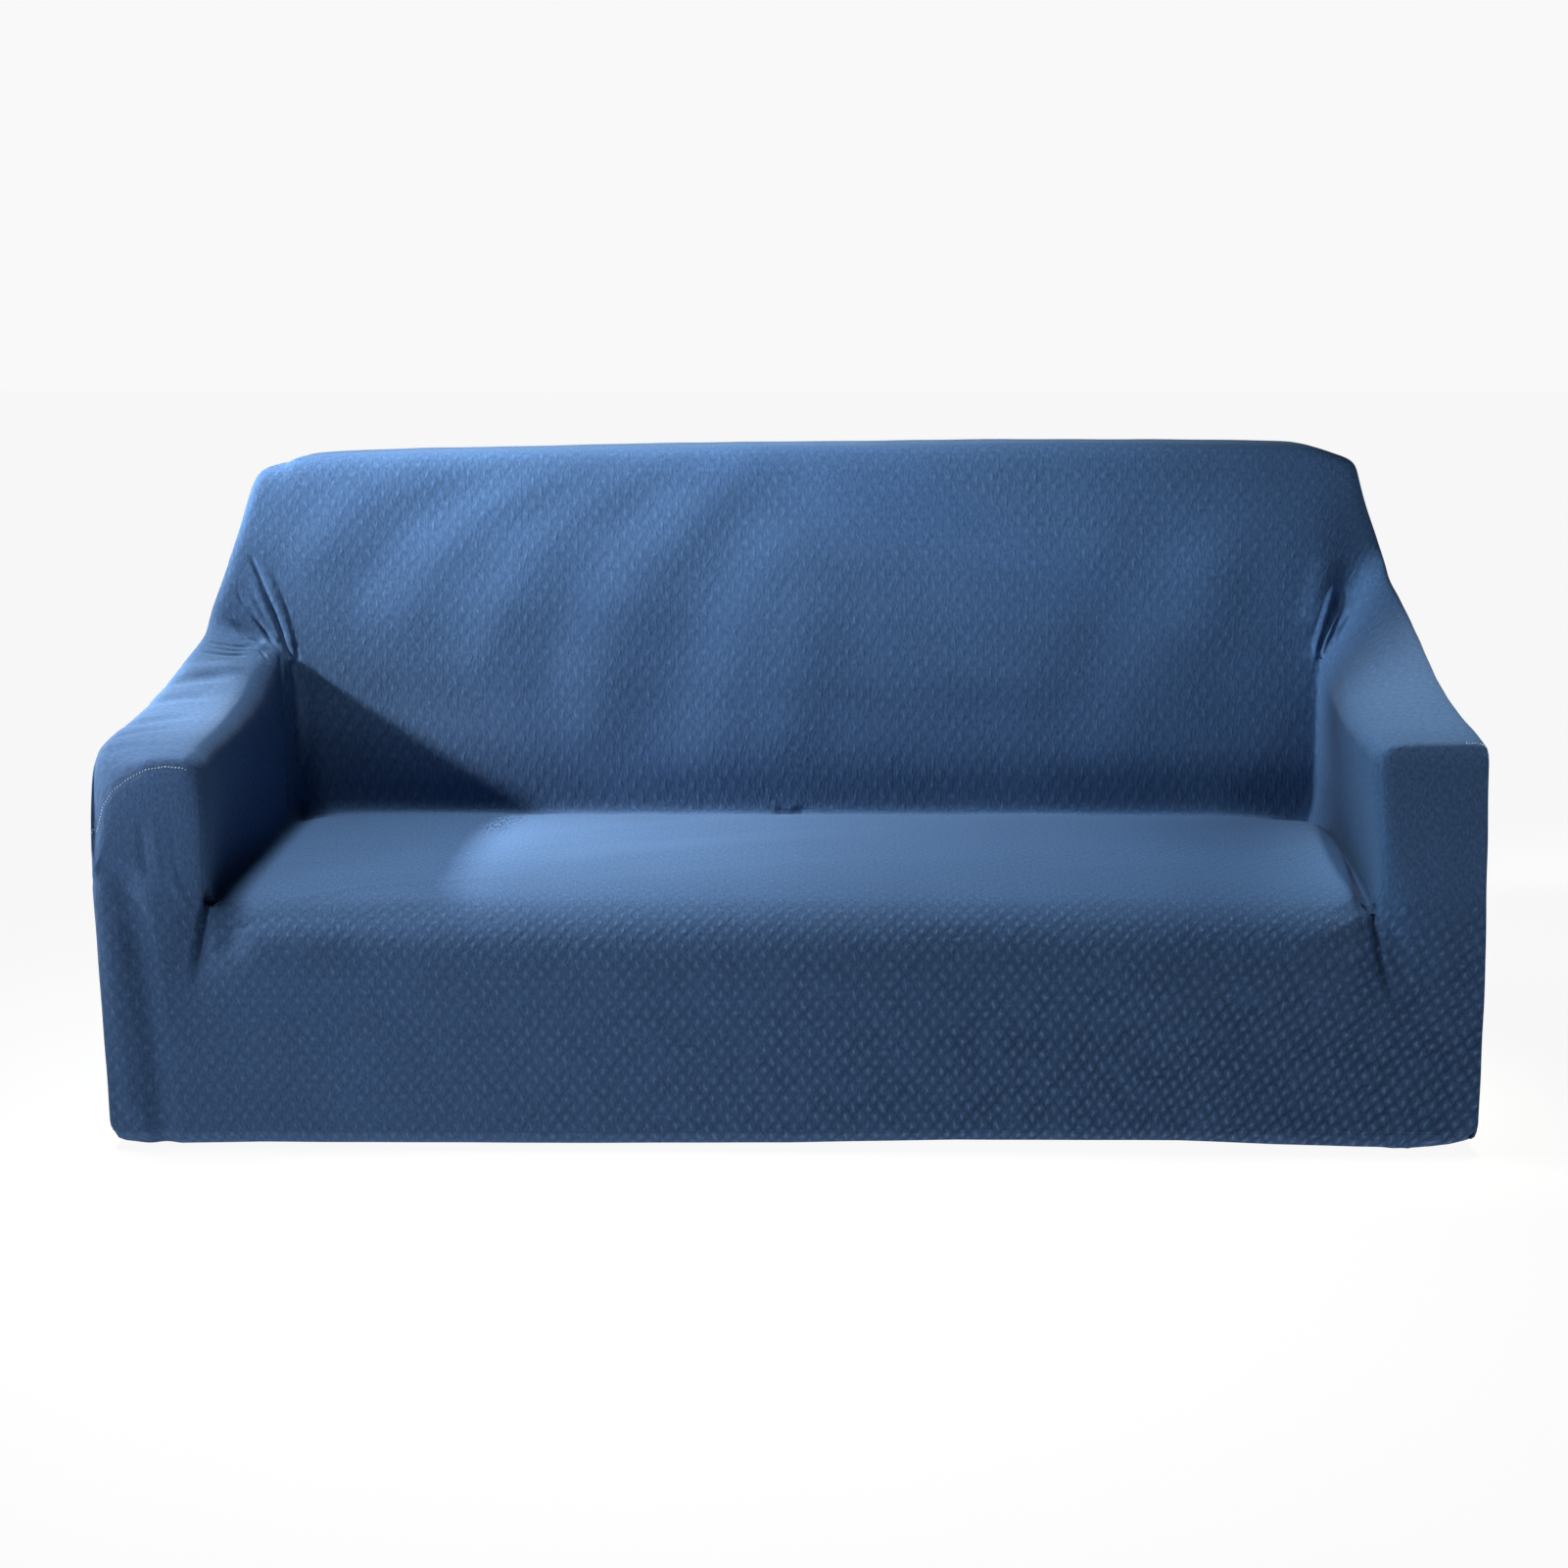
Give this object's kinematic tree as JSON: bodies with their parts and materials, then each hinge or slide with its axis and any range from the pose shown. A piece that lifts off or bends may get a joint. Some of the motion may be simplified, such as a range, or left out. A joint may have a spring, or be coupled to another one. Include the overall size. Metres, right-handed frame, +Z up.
{
  "type": "sofa slipcover",
  "caption": "Fitted stretch cover for a three-seat sofa: knitted jacquard panels over back, seat, skirt and arms, gathered at the arm corners, open at the elastic hem.",
  "frame": {"origin": "on the cover's middle plane, at its inner surface under the crown of the back, where the top edge of the sofa carries it", "axes": "+X across the cover, to the right of someone facing its front; +Y from the front skirt to the back; +Z up"},
  "size_m": [1.921, 0.8422, 0.9331],
  "materials": {
    "knit": "matte blue stretch knit with a small raised lozenge repeat, softly sheened where it is stretched"
  },
  "bodies": {
    "root": {"seat_panel": "knit", "back_panel": "knit", "arm_panel_left": "knit", "arm_panel_right": "knit", "arm_front_left": "knit", "arm_front_right": "knit"}
  },
  "joints": []
}
